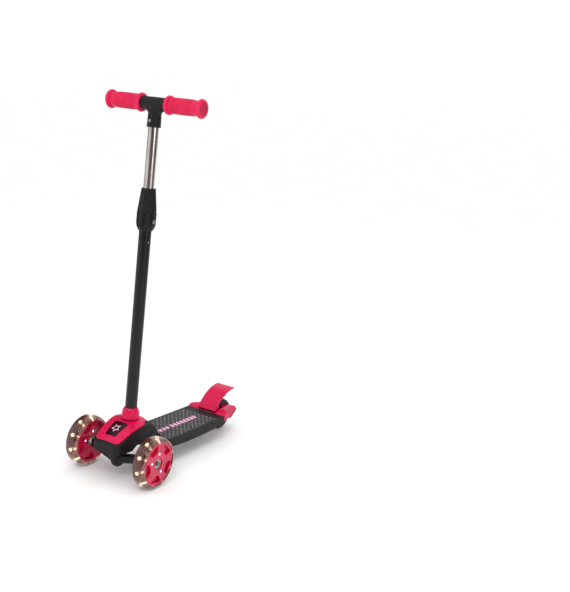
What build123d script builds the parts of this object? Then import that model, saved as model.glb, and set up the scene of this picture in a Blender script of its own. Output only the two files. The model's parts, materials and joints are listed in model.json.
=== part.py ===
from build123d import *
import os
from math import cos, radians, sin, sqrt

os.makedirs("parts", exist_ok=True)

# Three-wheeled lean-to-steer kick scooter, in millimetres.
# +Z is up, the rider faces -Y and +X is the rider's left.
# The origin is on the ground, at the middle of the scooter's footprint.

# ---- driving dimensions -------------------------------------------------
WHEELBASE = 400.0
FRONT_TRACK = 200.0            # between the middle planes of the front wheels
FRONT_WHEEL_RADIUS = 60.0
FRONT_WHEEL_WIDTH = 34.0
FRONT_RIM_RADIUS = 50.5
REAR_WHEEL_RADIUS = 41.0
REAR_WHEEL_WIDTH = 26.0
REAR_RIM_RADIUS = 29.0

DECK_HALF_WIDTH = 59.0
DECK_FRONT_TOP = 68.0          # height of the standing surface at its front end
DECK_REAR_TOP = 62.0           # and at its rear end
DECK_FRONT = 130.0             # where the standing surface starts, behind the front axle
DECK_REAR = 343.0              # where it meets the rear cover
DECK_WALL = 3.0

NOSE_FRONT = -50.0             # front edge of the nose cover, from the front axle
NOSE_REAR = 57.0
NOSE_FRONT_HALF = 35.0         # half widths of the nose cover
NOSE_REAR_HALF = 44.0
NOSE_FRONT_TOP = 102.0         # height of the cover's crest line at its front edge
NOSE_SADDLE = 24.0             # where the rounded top is level
NOSE_TOP = 133.0
NOSE_CROWN = 0.0037            # sideways drop of the crowned top, per square millimetre
NOSE_BOTTOM = 72.0
NOSE_RIM = 4.5                 # width of the black rim round the cover
COVER_THICK = 3.0

STEM_RAKE = 3.0                # degrees that the stem leans back
STEM_FOOT = 34.4               # behind the front axle, at the top of the stem collar
STEM_COLLAR_TOP = 158.2
STEM_COLLAR_HEIGHT = 25.0
LOWER_TUBE_RADIUS = 14.0
LOWER_TUBE_WALL = 1.5
LOWER_TUBE_LENGTH = 470.0      # above the stem collar
LOWER_TUBE_DEPTH = 70.0        # below the top of the stem collar
UPPER_TUBE_RADIUS = 12.0
UPPER_TUBE_WALL = 1.5
UPPER_TUBE_OVERLAP = 150.0     # length of upper tube inside the lower one, at full height
BAR_HEIGHT = 696.8             # handlebar axis, along the stem from the collar's top
CLAMP_BOTTOM = 415.5           # the height clamp's levels, along the stem
CLAMP_SPLIT = 461.0
CLAMP_TOP = 511.0
LATCH_LEVEL = 438.0            # the height latch, and the spacing of its two holes
LATCH_PITCH = 48.0
TEE_NECK_LENGTH = 51.3
TEE_LATCH_LEVEL = 659.5

BAR_HALF_LENGTH = 118.0
BAR_RADIUS = 11.0
GRIP_INNER = 34.3              # ends of a grip, from the middle plane
GRIP_OUTER = 130.0
GRIP_FLANGE_RADIUS = 21.3
GRIP_RADIUS = 16.2

KINGPIN_LEAN = 25.0            # degrees that the kingpin leans forward, going up
KINGPIN_FOOT = (-1.0, 28.0)    # behind the front axle and above the ground
TRUCK_BOSS_RADIUS = 15.5

FENDER_HALF_WIDTH = 27.0
FENDER_RADIUS = 100.0
FENDER_THICK = 3.5
FENDER_SWEEP = 57.0            # degrees from its level tip down to its root

FENDER_CENTRE = (427.0, 13.5)  # middle of its arc, behind the front axle and above the ground

WIDE = 150.0                   # across the whole scooter, for cutting shapes
FIT = 0.1                      # gap between pieces that are fixed to each other
RUNNING = 0.25                 # gap between pieces that turn or slide

SCREW_PLACES = (-20.0, 20.0)   # the rear fork's screws, from the middle plane
SCREW_RADIUS = 2.5
PIN_PLACE = (356.0, 63.5)      # brake hinge pin, behind the front axle and above the ground
PIN_RADIUS = 2.5
LUG_RADIUS = 4.2               # of the fender's two lugs round the pin
PAD_GAP = 6.5                  # between the resting brake pad and the rear tyre

# ---- reference points and planes ----------------------------------------
front_y = -(WHEELBASE + REAR_WHEEL_RADIUS - FRONT_WHEEL_RADIUS) / 2
rear_y = front_y + WHEELBASE


def back(distance):
    # y of a point that lies this far behind the front axle
    return front_y + distance


lean = radians(STEM_RAKE)
stem_axis = Axis((0, back(STEM_FOOT), STEM_COLLAR_TOP), (0, sin(lean), cos(lean)))
stem = Plane(origin=stem_axis.position, x_dir=(1, 0, 0), z_dir=stem_axis.direction)

pin_lean = radians(KINGPIN_LEAN)
kingpin_axis = Axis((0, back(KINGPIN_FOOT[0]), KINGPIN_FOOT[1]), (0, -sin(pin_lean), cos(pin_lean)))
kingpin = Plane(origin=kingpin_axis.position, x_dir=(1, 0, 0), z_dir=kingpin_axis.direction)


def save(piece, name):
    piece.part.label = name
    export_step(piece.part, f"parts/{name}.step")
    print(name, len(piece.part.solids()), round(piece.part.volume))


def crown_line(distance):
    # height of the nose cover's rounded crest line at this distance behind the front axle
    share = max(0.0, (NOSE_SADDLE - distance) / (NOSE_SADDLE - NOSE_FRONT))
    return NOSE_TOP - (NOSE_TOP - NOSE_FRONT_TOP) * share ** 1.45


def crown_section(distance, top, crown, half=WIDE / 2, floor=20.0):
    # upright section: level base, upright sides and an arched top
    with BuildSketch(Plane.XZ.offset(-back(distance))) as section:
        with BuildLine():
            side = top - crown * half * half
            Polyline((half, side), (half, floor), (-half, floor), (-half, side))
            ThreePointArc((-half, side), (0, top), (half, side))
        make_face()
    return section.sketch


def nose_mass(drop):
    # everything under the nose's crowned top, lowered by this drop
    stations = (NOSE_FRONT - 15, NOSE_FRONT, -25.0, 0.0, NOSE_SADDLE, NOSE_REAR)
    with BuildPart() as mass:
        loft([crown_section(d, crown_line(d) - drop, NOSE_CROWN) for d in stations])
    return mass.part


def ramp_mass(drop):
    # everything under the concave ramp from the nose down to the standing surface
    stations = (NOSE_REAR, 74.0, 92.0, 111.0, DECK_FRONT)
    heights = (NOSE_TOP - COVER_THICK, 106.0, 84.0, 71.5, DECK_FRONT_TOP)
    crowns = (NOSE_CROWN, 0.0024, 0.0012, 0.0004, 0.00005)
    with BuildPart() as mass:
        loft([crown_section(d, h - drop, c) for d, h, c in zip(stations, heights, crowns)])
    return mass.part


def side_prism(points, half=WIDE / 2):
    # a closed outline of (distance behind the front axle, height), made across the scooter
    with BuildPart() as prism:
        with BuildSketch(Plane.YZ.offset(-half)):
            with BuildLine():
                Polyline(*[(back(d), h) for d, h in points], close=True)
            make_face()
        extrude(amount=2 * half)
    return prism.part


def deck_outline(inset):
    # plan of the black deck moulding, inset all round
    front = back(NOSE_FRONT - NOSE_RIM + inset)
    with BuildSketch() as outline:
        with BuildLine():
            halves = (
                (NOSE_FRONT_HALF + NOSE_RIM, NOSE_FRONT - NOSE_RIM),
                (NOSE_REAR_HALF + 3.0, 32.0),
                (NOSE_REAR_HALF + 6.0, 70.0),
                (DECK_HALF_WIDTH, 122.0),
                (DECK_HALF_WIDTH, DECK_REAR),
            )
            right = [(x, back(d)) for x, d in halves]
            left = [(-x, y) for x, y in reversed(right)]
            Polyline(*right, *left, close=True)
        make_face()
        fillet(outline.vertices().group_by(Axis.Y)[0], 19.0)
        fillet(outline.vertices().group_by(Axis.Y)[2:-1][0], 10.0)
        if inset:
            offset(amount=-inset, kind=Kind.INTERSECTION, mode=Mode.REPLACE)
    return outline.sketch


def turned(plane, outline):
    # solid of revolution: outline of (place along the local axis, radius) points
    with BuildPart() as piece:
        with BuildSketch(plane):
            with BuildLine():
                Polyline(*outline, close=True)
            make_face()
        revolve(axis=Axis(plane.origin, plane.x_dir))
    return piece


def across_stem(level, start, face=1):
    # plane across the stem at this level, facing sideways from this x
    return Plane(origin=stem.origin + stem.z_dir * level + Vector(start, 0, 0), z_dir=(face, 0, 0))


def ring_outline(start, end, outer, inner):
    return [(start, inner), (start, outer), (end, outer), (end, inner)]


# Turning planes: local x runs along the axis of revolution, local y is the radius.
stem_turn = Plane(origin=stem.origin, x_dir=stem.z_dir, z_dir=(1, 0, 0))
kingpin_turn = Plane(origin=kingpin.origin, x_dir=kingpin.z_dir, z_dir=(1, 0, 0))
front_turn = Plane(origin=(0, front_y, FRONT_WHEEL_RADIUS), x_dir=(1, 0, 0), z_dir=(0, -1, 0))
rear_turn = Plane(origin=(0, rear_y, REAR_WHEEL_RADIUS), x_dir=(1, 0, 0), z_dir=(0, -1, 0))
bar_centre = stem.origin + stem.z_dir * BAR_HEIGHT
bar_turn = Plane(origin=bar_centre, x_dir=(1, 0, 0), z_dir=-stem.y_dir)

# Levels along the kingpin, from its foot.
boss_top = 44.0
bushing_height = 10.0
block_bottom = boss_top + 2 * RUNNING + bushing_height
nut_seat = block_bottom + 12.0
KINGPIN_RADIUS = 5.0
BUSHING_RADIUS = 12.0

# Levels along the stem, from the top of the collar.
socket_floor = -LOWER_TUBE_DEPTH
STEM_BOLT_LEVEL = -50.0
STEM_BOLT_RADIUS = 3.0
FORK_SCREWS = DECK_REAR - 15.0
WEB_BOTTOM = 47.3              # the fork's web under the deck's rear end
WEB_TOP = 58.9


# ---- deck moulding --------------------------------------------------------
def deck_body(inset, drop):
    # plan outline under the nose top, the ramp and the standing surface
    with BuildPart() as top_mass:
        add(nose_mass(COVER_THICK + drop))
        add(ramp_mass(drop))
        add(side_prism([
            (DECK_FRONT, 20.0), (DECK_FRONT, DECK_FRONT_TOP - drop),
            (DECK_REAR, DECK_REAR_TOP - drop), (DECK_REAR, 20.0),
        ]))
    with BuildPart() as body:
        with BuildSketch(Plane.XY.offset(21.0)):
            add(deck_outline(inset))
        extrude(amount=140.0)
        add(top_mass.part, mode=Mode.INTERSECT)
    return body.part


def under_deck(rise):
    # everything below the deck's lower edge, raised by this much
    with BuildPart() as below:
        with BuildSketch(Plane.YZ.offset(-WIDE / 2)):
            with BuildLine():
                Polyline(
                    (back(400), 52.0 + rise), (back(400), 0.0), (back(-70), 0.0),
                    (back(-70), NOSE_BOTTOM + rise), (back(-6), NOSE_BOTTOM + 1.0 + rise),
                    (back(8), 84.0 + rise), (back(22), 81.0 + rise),
                    (back(105), 50.0 + rise),
                )
                ThreePointArc((back(105), 50.0 + rise), (back(190), 42.0 + rise), (back(400), 52.0 + rise))
            make_face()
        extrude(amount=WIDE)
    return below.part


def box_between(low, high):
    # low and high corners as (x, distance behind the front axle, z)
    with BuildPart() as block:
        with Locations((low[0], back(low[1]), low[2])):
            Box(high[0] - low[0], high[1] - low[1], high[2] - low[2], align=(Align.MIN, Align.MIN, Align.MIN))
    return block.part


with BuildPart() as cavity:
    add(deck_body(DECK_WALL, DECK_WALL))

with BuildPart() as ribs:
    for x in (-36.0, -12.0, 12.0, 36.0):
        with Locations((x, back(140), 80)):
            Box(2.5, 420, 130)
    for d in (-30.0, 31.0, 86.0, 118.0, 150.0, 182.0, 214.0, 246.0, 278.0, 310.0):
        with Locations((0, back(d), 80)):
            Box(120, 2.5, 130)
    add(cavity.part, mode=Mode.INTERSECT)
    add(under_deck(6.0), mode=Mode.SUBTRACT)

with BuildPart() as mounts_block:
    # socket for the stem and block for the kingpin
    with BuildSketch(stem.offset(socket_floor - 4.0)):
        Circle(LOWER_TUBE_RADIUS + 5.0)
    extrude(amount=80.0)
    with BuildSketch(kingpin.offset(block_bottom)):
        Circle(TRUCK_BOSS_RADIUS + 1.5)
    extrude(amount=60.0)
    add(cavity.part, mode=Mode.INTERSECT)

with BuildPart() as deck:
    add(deck_body(0.0, 0.0))
    add(cavity.part, mode=Mode.SUBTRACT)
    add(ribs.part)
    add(mounts_block.part)
    add(under_deck(0.0), mode=Mode.SUBTRACT)
    # room round the bushing and the truck's boss
    with BuildSketch(kingpin.offset(20.0)):
        Circle(TRUCK_BOSS_RADIUS + 3.0)
    extrude(amount=block_bottom - 20.0, mode=Mode.SUBTRACT)
    with BuildSketch(kingpin.offset(10.0)):
        Circle(KINGPIN_RADIUS + FIT)
    extrude(amount=90.0, mode=Mode.SUBTRACT)
    with BuildSketch(kingpin.offset(nut_seat)):
        Circle(10.5)
    extrude(amount=50.0, mode=Mode.SUBTRACT)
    with BuildSketch(stem.offset(socket_floor)):
        Circle(LOWER_TUBE_RADIUS + FIT)
    extrude(amount=80.0, mode=Mode.SUBTRACT)
    # room for the stem's cross bolt, the fork's web and its screws
    with BuildSketch(across_stem(STEM_BOLT_LEVEL, -24)):
        Circle(STEM_BOLT_RADIUS + FIT)
    extrude(amount=48.0, mode=Mode.SUBTRACT)
    for side in (-1, 1):
        with BuildSketch(across_stem(STEM_BOLT_LEVEL, side * 20.4, side)):
            Circle(7.0)
        extrude(amount=6.0, mode=Mode.SUBTRACT)
    add(box_between((-30.5, DECK_REAR - 27.0, 0), (30.5, DECK_REAR + 1, WEB_TOP + FIT)), mode=Mode.SUBTRACT)
    for x in SCREW_PLACES:
        with BuildSketch(Plane(origin=(x, back(FORK_SCREWS), 50.0))):
            Circle(SCREW_RADIUS + FIT)
        extrude(amount=11.2, mode=Mode.SUBTRACT)
save(deck, "deck")


# ---- nose cover, badge and stem collar --------------------------------------
def cover_outline(inset):
    # plan of the nose cover: bowed front, widest near the saddle, narrow behind the stem
    with BuildSketch() as outline:
        with BuildLine():
            Polyline(
                (-NOSE_REAR_HALF, back(32)), (-NOSE_REAR_HALF, back(20)),
                (-NOSE_FRONT_HALF, back(NOSE_FRONT + 1.5)),
            )
            ThreePointArc(
                (-NOSE_FRONT_HALF, back(NOSE_FRONT + 1.5)), (0, back(NOSE_FRONT)),
                (NOSE_FRONT_HALF, back(NOSE_FRONT + 1.5)),
            )
            Polyline(
                (NOSE_FRONT_HALF, back(NOSE_FRONT + 1.5)), (NOSE_REAR_HALF, back(20)),
                (NOSE_REAR_HALF, back(32)), (26, back(NOSE_REAR - 1)),
                (-26, back(NOSE_REAR - 1)), (-NOSE_REAR_HALF, back(32)),
            )
        make_face()
        fillet(outline.vertices().group_by(Axis.Y)[0], 15.0)
        fillet(outline.vertices().group_by(Axis.Y)[-1], 10.0)
        if inset:
            offset(amount=-inset, kind=Kind.INTERSECTION, mode=Mode.REPLACE)
    return outline.sketch


BADGE_FRONT = -37.0            # ends of the badge and its half widths
BADGE_REAR = 6.0
BADGE_FRONT_HALF = 15.0
BADGE_REAR_HALF = 20.0
BADGE_DEPTH = 1.6


def badge_outline(inset):
    with BuildSketch() as outline:
        with BuildLine():
            Polyline(
                (-BADGE_FRONT_HALF, back(BADGE_FRONT)), (BADGE_FRONT_HALF, back(BADGE_FRONT)),
                (BADGE_REAR_HALF, back(BADGE_REAR)), (-BADGE_REAR_HALF, back(BADGE_REAR)), close=True,
            )
        make_face()
        fillet(outline.vertices(), 5.0)
        if inset:
            offset(amount=-inset, kind=Kind.INTERSECTION, mode=Mode.REPLACE)
    return outline.sketch


def upright(sketch):
    # a plan outline carried straight up through the nose
    with BuildPart() as block:
        with BuildSketch(Plane.XY.offset(60.0)):
            add(sketch)
        extrude(amount=110.0)
    return block.part


COLLAR_FOOT_RADIUS = 22.0
with BuildPart() as badge_recess:
    add(upright(badge_outline(0.0)))
    add(nose_mass(BADGE_DEPTH), mode=Mode.SUBTRACT)

with BuildPart() as nose_cover:
    add(upright(cover_outline(0.0)))
    add(nose_mass(0.0), mode=Mode.INTERSECT)
    add(nose_mass(COVER_THICK - FIT), mode=Mode.SUBTRACT)
    add(badge_recess.part, mode=Mode.SUBTRACT)
    with BuildSketch(stem.offset(-60.0)):
        Circle(LOWER_TUBE_RADIUS + 1.0)
    extrude(amount=60.0, mode=Mode.SUBTRACT)
save(nose_cover, "nose_cover")

with BuildPart() as badge_panel:
    add(upright(badge_outline(FIT)))
    add(nose_mass(0.3), mode=Mode.INTERSECT)
    add(nose_mass(BADGE_DEPTH - FIT), mode=Mode.SUBTRACT)
save(badge_panel, "badge_panel")

# emblem: the outline of a star, standing on the badge
with BuildPart() as badge_emblem:
    middle = back((BADGE_FRONT + BADGE_REAR) / 2)
    with BuildSketch(Plane(origin=(0, middle, 60.0))):
        for outer, mode in ((11.5, Mode.ADD), (7.6, Mode.SUBTRACT)):
            with BuildLine():
                corners = []
                for point in range(10):
                    reach = outer * (0.5 if point % 2 else 1.0)
                    angle = radians(36.0 * point - 90.0)
                    corners.append((reach * cos(angle), reach * sin(angle)))
                Polyline(*corners, close=True)
            make_face(mode=mode)
    extrude(amount=110.0)
    add(nose_mass(-0.5), mode=Mode.INTERSECT)
    add(nose_mass(0.3), mode=Mode.SUBTRACT)
save(badge_emblem, "badge_emblem")

bore = LOWER_TUBE_RADIUS + FIT
with BuildPart() as stem_collar:
    with BuildSketch(stem_turn):
        with BuildLine():
            low = -STEM_COLLAR_HEIGHT + 0.6
            foot = COLLAR_FOOT_RADIUS
            Polyline((0, bore + 1.0), (0, bore), (low, bore), (low, foot), (low + 2, foot),
                     (low + 2.6, foot - 1.4), (low + 8, foot - 1.8))
            ThreePointArc((low + 8, COLLAR_FOOT_RADIUS - 1.8), (-6, 18.6), (0, bore + 1.0))
        make_face()
    revolve(axis=Axis(stem_turn.origin, stem_turn.x_dir))
    add(nose_mass(-FIT), mode=Mode.SUBTRACT)
save(stem_collar, "stem_collar")

# ---- stem: tubes, height clamp and latch --------------------------------------
with BuildPart() as lower_tube:
    with BuildSketch(stem.offset(socket_floor + FIT)):
        Circle(LOWER_TUBE_RADIUS)
        Circle(LOWER_TUBE_RADIUS - LOWER_TUBE_WALL, mode=Mode.SUBTRACT)
    extrude(amount=LOWER_TUBE_LENGTH - socket_floor - FIT)
    for level in (LATCH_LEVEL, LATCH_LEVEL - LATCH_PITCH):
        with BuildSketch(across_stem(level, 0)):
            Circle(4.3)
        extrude(amount=LOWER_TUBE_RADIUS + 1.0, mode=Mode.SUBTRACT)
    with BuildSketch(across_stem(STEM_BOLT_LEVEL, -30)):
        Circle(STEM_BOLT_RADIUS + FIT)
    extrude(amount=60.0, mode=Mode.SUBTRACT)
save(lower_tube, "lower_tube")

COLLET_TOP = CLAMP_TOP - 4.0
NECK_TOP = CLAMP_SPLIT + 20.0
COLLET_RADIUS = 14.0
NECK_RADIUS = 16.2
CLAMP_LOW_RADIUS = 21.0        # over the flats of the nut, at its foot and its top
CLAMP_HIGH_RADIUS = 15.6
FLUTE_RADIUS = 22.0
with BuildPart() as height_collar:
    with BuildSketch(stem_turn):
        with BuildLine():
            bottom, top = CLAMP_BOTTOM, CLAMP_SPLIT
            Polyline(
                (bottom, bore), (bottom, bore + 1.2), (bottom + 3, bore + 3.4),
                (bottom + 9, FLUTE_RADIUS - 1.6), (bottom + 16, FLUTE_RADIUS),
                (top - 3, FLUTE_RADIUS), (top - 0.2, FLUTE_RADIUS - 1.4),
                (top - 0.2, NECK_RADIUS), (NECK_TOP, NECK_RADIUS), (NECK_TOP, bore), close=True,
            )
        make_face()
    revolve(axis=Axis(stem_turn.origin, stem_turn.x_dir))
    # flutes down the outside, and the latch's window
    for turn in range(8):
        angle = radians(22.5 + 45.0 * turn)
        with BuildSketch(stem.offset(CLAMP_BOTTOM)):
            with Locations((FLUTE_RADIUS * cos(angle), FLUTE_RADIUS * sin(angle))):
                Circle(3.2)
        extrude(amount=CLAMP_SPLIT - CLAMP_BOTTOM - 4.0, mode=Mode.SUBTRACT)
    with BuildSketch(across_stem(LATCH_LEVEL, 5)):
        Circle(4.2)
    extrude(amount=30.0, mode=Mode.SUBTRACT)
    with BuildSketch(across_stem(LATCH_LEVEL, FLUTE_RADIUS - 4)):
        Circle(5.2)
    extrude(amount=30.0, mode=Mode.SUBTRACT)
save(height_collar, "height_collar")

LATCH_TRAVEL = 3.0
latch_rest = UPPER_TUBE_RADIUS + RUNNING + LATCH_TRAVEL + 0.1
latch_plane = Plane(origin=stem.origin + stem.z_dir * LATCH_LEVEL, x_dir=(1, 0, 0), z_dir=-stem.y_dir)
height_button = turned(latch_plane, [
    (latch_rest, 0), (latch_rest, 3.4), (FLUTE_RADIUS - 0.7, 3.4), (FLUTE_RADIUS - 0.7, 4.6),
    (FLUTE_RADIUS + 1.0, 4.6), (FLUTE_RADIUS + 1.8, 3.6), (FLUTE_RADIUS + 1.8, 0),
])
save(height_button, "height_button")

collet_outline = ring_outline(LOWER_TUBE_LENGTH + FIT, COLLET_TOP, COLLET_RADIUS, UPPER_TUBE_RADIUS + 0.3)
tube_collet = turned(stem_turn, collet_outline)
save(tube_collet, "tube_collet")

with BuildPart() as height_nut:
    with BuildSketch(stem.offset(CLAMP_SPLIT + 0.3)):
        RegularPolygon(radius=CLAMP_LOW_RADIUS, side_count=8, major_radius=False, rotation=12)
    with BuildSketch(stem.offset(CLAMP_TOP)):
        RegularPolygon(radius=CLAMP_HIGH_RADIUS, side_count=8, major_radius=False, rotation=12)
    loft()
    with BuildSketch(stem.offset(CLAMP_SPLIT)):
        Circle(NECK_RADIUS + 0.3)
    extrude(amount=NECK_TOP + 0.5 - CLAMP_SPLIT, mode=Mode.SUBTRACT)
    with BuildSketch(stem.offset(CLAMP_SPLIT)):
        Circle(COLLET_RADIUS + 0.3)
    extrude(amount=COLLET_TOP + 0.5 - CLAMP_SPLIT, mode=Mode.SUBTRACT)
    with BuildSketch(stem.offset(CLAMP_SPLIT)):
        Circle(UPPER_TUBE_RADIUS + 0.4)
    extrude(amount=80.0, mode=Mode.SUBTRACT)
save(height_nut, "height_nut")

tee_bottom = BAR_HEIGHT - TEE_NECK_LENGTH
upper_start = LOWER_TUBE_LENGTH - UPPER_TUBE_OVERLAP
upper_end = BAR_HEIGHT - BAR_RADIUS - 1.0
TEE_BUTTON_RADIUS = 3.4
tee_latch = Plane(origin=stem.origin + stem.z_dir * TEE_LATCH_LEVEL, x_dir=-stem.y_dir, z_dir=(1, 0, 0))
with BuildPart() as upper_tube:
    with BuildSketch(stem.offset(upper_start)):
        Circle(UPPER_TUBE_RADIUS)
        Circle(UPPER_TUBE_RADIUS - UPPER_TUBE_WALL, mode=Mode.SUBTRACT)
    extrude(amount=upper_end - upper_start)
    holes = (
        (LATCH_LEVEL, stem.x_dir), (LATCH_LEVEL + LATCH_PITCH, stem.x_dir), (TEE_LATCH_LEVEL, -stem.y_dir),
    )
    for level, across in holes:
        with BuildSketch(Plane(origin=stem.origin + stem.z_dir * level, z_dir=across)):
            Circle(TEE_BUTTON_RADIUS + 0.3)
        extrude(amount=UPPER_TUBE_RADIUS + 1.0, mode=Mode.SUBTRACT)
save(upper_tube, "upper_tube")

tube_foot = turned(stem_turn, [
    (upper_start - 4.0, 4.0), (upper_start - 4.0, 12.1), (upper_start - FIT, 12.1), (upper_start - FIT, 10.3),
    (upper_start + 12.0, 10.3), (upper_start + 12.0, 4.0),
])
save(tube_foot, "tube_foot")

# ---- handlebar -----------------------------------------------------------------
TEE_RADIUS = 14.6
TEE_NECK_RADIUS = 15.7
TEE_HALF = 34.0
with BuildPart() as handlebar_tee:
    with BuildSketch(stem.offset(tee_bottom)):
        Circle(TEE_NECK_RADIUS)
    with BuildSketch(stem.offset(BAR_HEIGHT)):
        Circle(TEE_NECK_RADIUS - 1.5)
    loft()
    with BuildSketch(Plane(origin=bar_centre - Vector(TEE_HALF, 0, 0), z_dir=(1, 0, 0))):
        Circle(TEE_RADIUS)
    extrude(amount=2 * TEE_HALF)
    web = [edge for edge in handlebar_tee.edges() if edge.geom_type not in (GeomType.CIRCLE, GeomType.LINE)]
    fillet(web, 13.0)
    with BuildSketch(Plane(origin=bar_centre - Vector(TEE_HALF + 1, 0, 0), z_dir=(1, 0, 0))):
        Circle(BAR_RADIUS + FIT)
    extrude(amount=2 * TEE_HALF + 2, mode=Mode.SUBTRACT)
    with BuildSketch(stem.offset(tee_bottom - 1)):
        Circle(UPPER_TUBE_RADIUS + FIT)
    extrude(amount=TEE_NECK_LENGTH - BAR_RADIUS + 0.5, mode=Mode.SUBTRACT)
    with BuildSketch(Plane(origin=stem.origin + stem.z_dir * TEE_LATCH_LEVEL, z_dir=-stem.y_dir)):
        Circle(TEE_BUTTON_RADIUS + 0.3)
    extrude(amount=30.0, mode=Mode.SUBTRACT)
save(handlebar_tee, "handlebar_tee")

BAR_BORE = BAR_RADIUS - 1.5
handlebar_tube = turned(bar_turn, ring_outline(-BAR_HALF_LENGTH, BAR_HALF_LENGTH, BAR_RADIUS, BAR_BORE))
save(handlebar_tube, "handlebar_tube")

tee_button = turned(tee_latch, [
    (6.6, 0), (6.6, 4.8), (9.0, 4.8), (9.0, TEE_BUTTON_RADIUS),
    (16.4, TEE_BUTTON_RADIUS), (17.4, 2.2), (17.4, 0),
])
save(tee_button, "tee_button")

GRIP_FLANGE = 9.0
for side, word in ((1, "left"), (-1, "right")):
    with BuildPart() as grip:
        with BuildSketch(bar_turn):
            with BuildLine():
                inner, outer = side * GRIP_INNER, side * GRIP_OUTER
                step = side * GRIP_FLANGE
                crest = GRIP_FLANGE_RADIUS
                Polyline((outer - step, GRIP_RADIUS), (outer - step, crest - 3))
                ThreePointArc((outer - step, crest - 3), (outer - step / 2, crest),
                              (outer - side * 0.6, crest - 4))
                Polyline((outer - side * 0.6, crest - 4), (outer, crest - 5.5), (outer, BAR_RADIUS + FIT),
                         (inner, BAR_RADIUS + FIT), (inner, crest - 4))
                ThreePointArc((inner, crest - 4), (inner + step / 2, crest), (inner + step, crest - 3))
                Polyline((inner + step, crest - 3), (inner + step, GRIP_RADIUS))
                ThreePointArc((inner + step, GRIP_RADIUS), ((inner + outer) / 2, GRIP_RADIUS + 1.0),
                              (outer - step, GRIP_RADIUS))
            make_face()
        revolve(axis=Axis(bar_turn.origin, bar_turn.x_dir))
        with BuildSketch(Plane(origin=bar_centre + Vector(outer - side * 3, 0, 0), z_dir=(side, 0, 0))):
            Circle(13.2)
        extrude(amount=4.0, mode=Mode.SUBTRACT)
    save(grip, f"grip_{word}")
    plug = turned(bar_turn, [
        (side * (BAR_HALF_LENGTH - 12), 6.0), (side * (BAR_HALF_LENGTH - 12), BAR_BORE - FIT),
        (side * (BAR_HALF_LENGTH + FIT), BAR_BORE - FIT), (side * (BAR_HALF_LENGTH + FIT), BAR_RADIUS),
        (side * (GRIP_OUTER - 3 + FIT), BAR_RADIUS), (side * (GRIP_OUTER - 3 + FIT), 13.0),
        (side * (GRIP_OUTER - 1), 13.0), (side * (GRIP_OUTER - 0.4), 11.5), (side * (GRIP_OUTER - 0.4), 0),
        (side * (GRIP_OUTER - 3.4), 0), (side * (GRIP_OUTER - 3.4), 6.0),
    ])
    save(plug, f"end_plug_{word}")


# ---- truck: kingpin boss with an arm to each front wheel --------------------------
FRONT_HUB_HALF = 13.0          # half width of the front wheels' hubs
AXLE_RADIUS = 4.0
ARM_END = FRONT_TRACK / 2 - FRONT_WHEEL_WIDTH / 2 - 4.0
AXLE_ROOT = ARM_END - 19.0     # how far in the axle bolts reach


def arm_section(x, distance, height, wide, tall):
    with BuildSketch(Plane(origin=(x, back(distance), height), x_dir=(0, 1, 0), z_dir=(1, 0, 0))) as section:
        RectangleRounded(wide, tall, 5.0)
    return section.sketch


with BuildPart() as truck:
    with BuildSketch(kingpin_turn):
        with BuildLine():
            Polyline((boss_top, 0), (boss_top, TRUCK_BOSS_RADIUS), (10, TRUCK_BOSS_RADIUS))
            ThreePointArc((10, TRUCK_BOSS_RADIUS), (2.8, TRUCK_BOSS_RADIUS - 2.9),
                          (0, TRUCK_BOSS_RADIUS - 8.0))
            Polyline((0, TRUCK_BOSS_RADIUS - 8.0), (0, 0), (boss_top, 0))
        make_face()
    revolve(axis=kingpin_axis)
    for side in (-1, 1):
        loft([
            arm_section(side * 6.0, -9.0, 46.0, 22.0, 20.0),
            arm_section(side * 45.0, -4.0, 53.0, 19.0, 20.0),
            arm_section(side * ARM_END, 0.0, FRONT_WHEEL_RADIUS, 19.0, 19.0),
        ])
        bore_start = (side * (AXLE_ROOT - 0.5), front_y, FRONT_WHEEL_RADIUS)
        with BuildSketch(Plane(origin=bore_start, z_dir=(side, 0, 0))):
            Circle(AXLE_RADIUS + FIT)
        extrude(amount=40.0, mode=Mode.SUBTRACT)
    with BuildSketch(kingpin.offset(-1)):
        Circle(9.0)
    extrude(amount=9.0, mode=Mode.SUBTRACT)
    with BuildSketch(kingpin.offset(-1)):
        Circle(KINGPIN_RADIUS + RUNNING)
    extrude(amount=boss_top + 2, mode=Mode.SUBTRACT)
save(truck, "truck")

with BuildPart() as kingpin_bolt:
    with BuildSketch(kingpin.offset(2.0)):
        RegularPolygon(radius=7.0, side_count=6, major_radius=False)
    extrude(amount=4.8)
    with BuildSketch(kingpin.offset(6.8)):
        Circle(KINGPIN_RADIUS)
    extrude(amount=nut_seat + 10.5 - 6.8)
save(kingpin_bolt, "kingpin_bolt")

with BuildPart() as kingpin_washers:
    for start in (6.8 + FIT, nut_seat + FIT):
        with BuildSketch(kingpin.offset(start)):
            Circle(8.6)
            Circle(KINGPIN_RADIUS + FIT, mode=Mode.SUBTRACT)
        extrude(amount=0.9)
save(kingpin_washers, "kingpin_washers")

with BuildPart() as kingpin_nut:
    with BuildSketch(kingpin.offset(nut_seat + 1.0 + 2 * FIT)):
        RegularPolygon(radius=8.0, side_count=6, major_radius=False)
        Circle(KINGPIN_RADIUS + FIT, mode=Mode.SUBTRACT)
    extrude(amount=7.5)
save(kingpin_nut, "kingpin_nut")

bushing_foot = boss_top + RUNNING
steering_bushing = turned(kingpin_turn, [
    (bushing_foot, KINGPIN_RADIUS + 0.2), (bushing_foot, BUSHING_RADIUS),
    (bushing_foot + 3.5, BUSHING_RADIUS), (bushing_foot + bushing_height / 2, BUSHING_RADIUS - 2.0),
    (bushing_foot + bushing_height - 3.5, BUSHING_RADIUS), (block_bottom - RUNNING + FIT, BUSHING_RADIUS),
    (block_bottom - RUNNING + FIT, KINGPIN_RADIUS + 0.2),
])
save(steering_bushing, "steering_bushing")

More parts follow.
